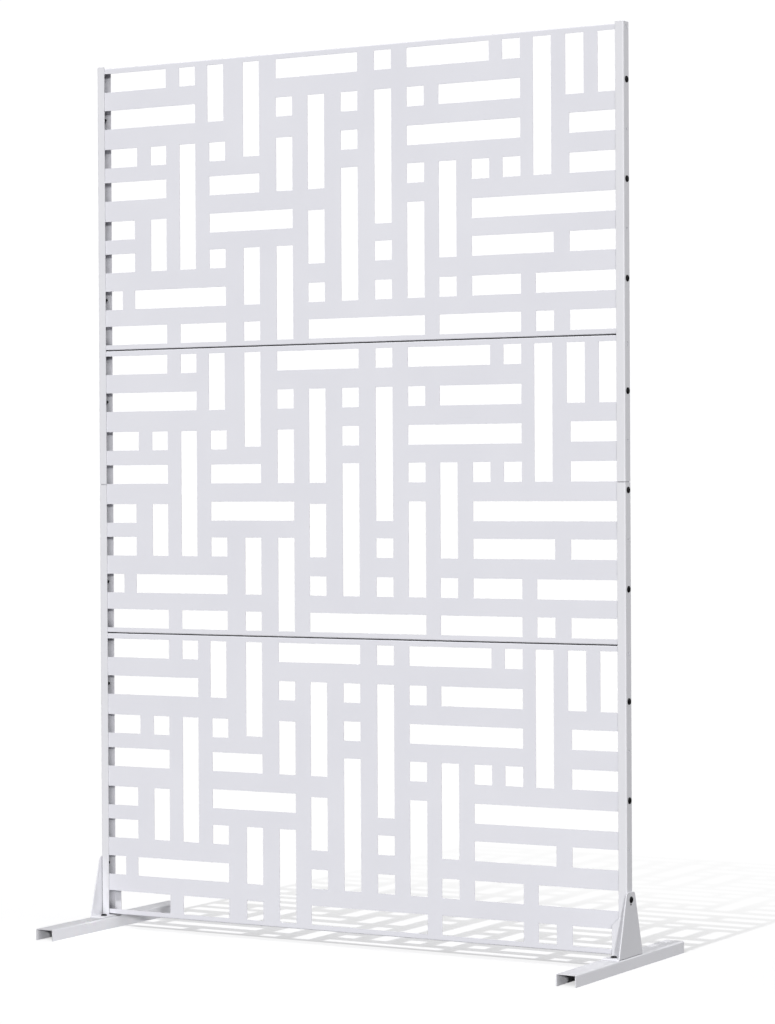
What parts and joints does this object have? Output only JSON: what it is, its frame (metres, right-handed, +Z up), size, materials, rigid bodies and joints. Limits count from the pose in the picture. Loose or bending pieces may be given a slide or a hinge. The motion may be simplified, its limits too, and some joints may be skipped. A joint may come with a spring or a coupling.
{
  "type": "garden privacy screen",
  "caption": "Free-standing metal privacy screen: stacked cut-out panels between slim channel posts, each post on a gusset bracket and a channel foot.",
  "frame": {"origin": "on the floor, midway between the posts and midway along the feet", "axes": "+Z up, +X along the screen from the left post to the right post as seen from the front, -Y out of the panels' front face"},
  "size_m": [1.2508, 0.48, 1.829],
  "materials": {
    "white_coat": "fine-textured satin powder coat on sheet steel",
    "black_fastener": "black zinc-plated steel, slightly glossy"
  },
  "bodies": {
    "root": {"panel_top": "white_coat", "panel_middle": "white_coat", "panel_bottom": "white_coat", "post_upper_right": "white_coat", "post_lower_right": "white_coat", "foot_right": "white_coat", "bracket_right": "white_coat", "post_upper_left": "white_coat", "post_lower_left": "white_coat", "foot_left": "white_coat", "bracket_left": "white_coat", "panel_screw_1_right": "black_fastener", "panel_nut_1_right": "black_fastener", "panel_screw_1_left": "black_fastener", "panel_nut_1_left": "black_fastener", "panel_screw_2_right": "black_fastener", "panel_nut_2_right": "black_fastener", "panel_screw_2_left": "black_fastener", "panel_nut_2_left": "black_fastener", "panel_screw_3_right": "black_fastener", "panel_nut_3_right": "black_fastener", "panel_screw_3_left": "black_fastener", "panel_nut_3_left": "black_fastener", "panel_screw_4_right": "black_fastener", "panel_nut_4_right": "black_fastener", "panel_screw_4_left": "black_fastener", "panel_nut_4_left": "black_fastener", "panel_screw_5_right": "black_fastener", "panel_nut_5_right": "black_fastener", "panel_screw_5_left": "black_fastener", "panel_nut_5_left": "black_fastener", "panel_screw_6_right": "black_fastener", "panel_nut_6_right": "black_fastener", "panel_screw_6_left": "black_fastener", "panel_nut_6_left": "black_fastener", "panel_screw_7_right": "black_fastener", "panel_nut_7_right": "black_fastener", "panel_screw_7_left": "black_fastener", "panel_nut_7_left": "black_fastener", "panel_screw_8_right": "black_fastener", "panel_nut_8_right": "black_fastener", "panel_screw_8_left": "black_fastener", "panel_nut_8_left": "black_fastener", "panel_screw_9_right": "black_fastener", "panel_nut_9_right": "black_fastener", "panel_screw_9_left": "black_fastener", "panel_nut_9_left": "black_fastener", "foot_screw_rear_right": "black_fastener", "foot_nut_rear_right": "black_fastener", "foot_screw_rear_left": "black_fastener", "foot_nut_rear_left": "black_fastener", "foot_screw_front_right": "black_fastener", "foot_nut_front_right": "black_fastener", "foot_screw_front_left": "black_fastener", "foot_nut_front_left": "black_fastener"}
  },
  "joints": []
}
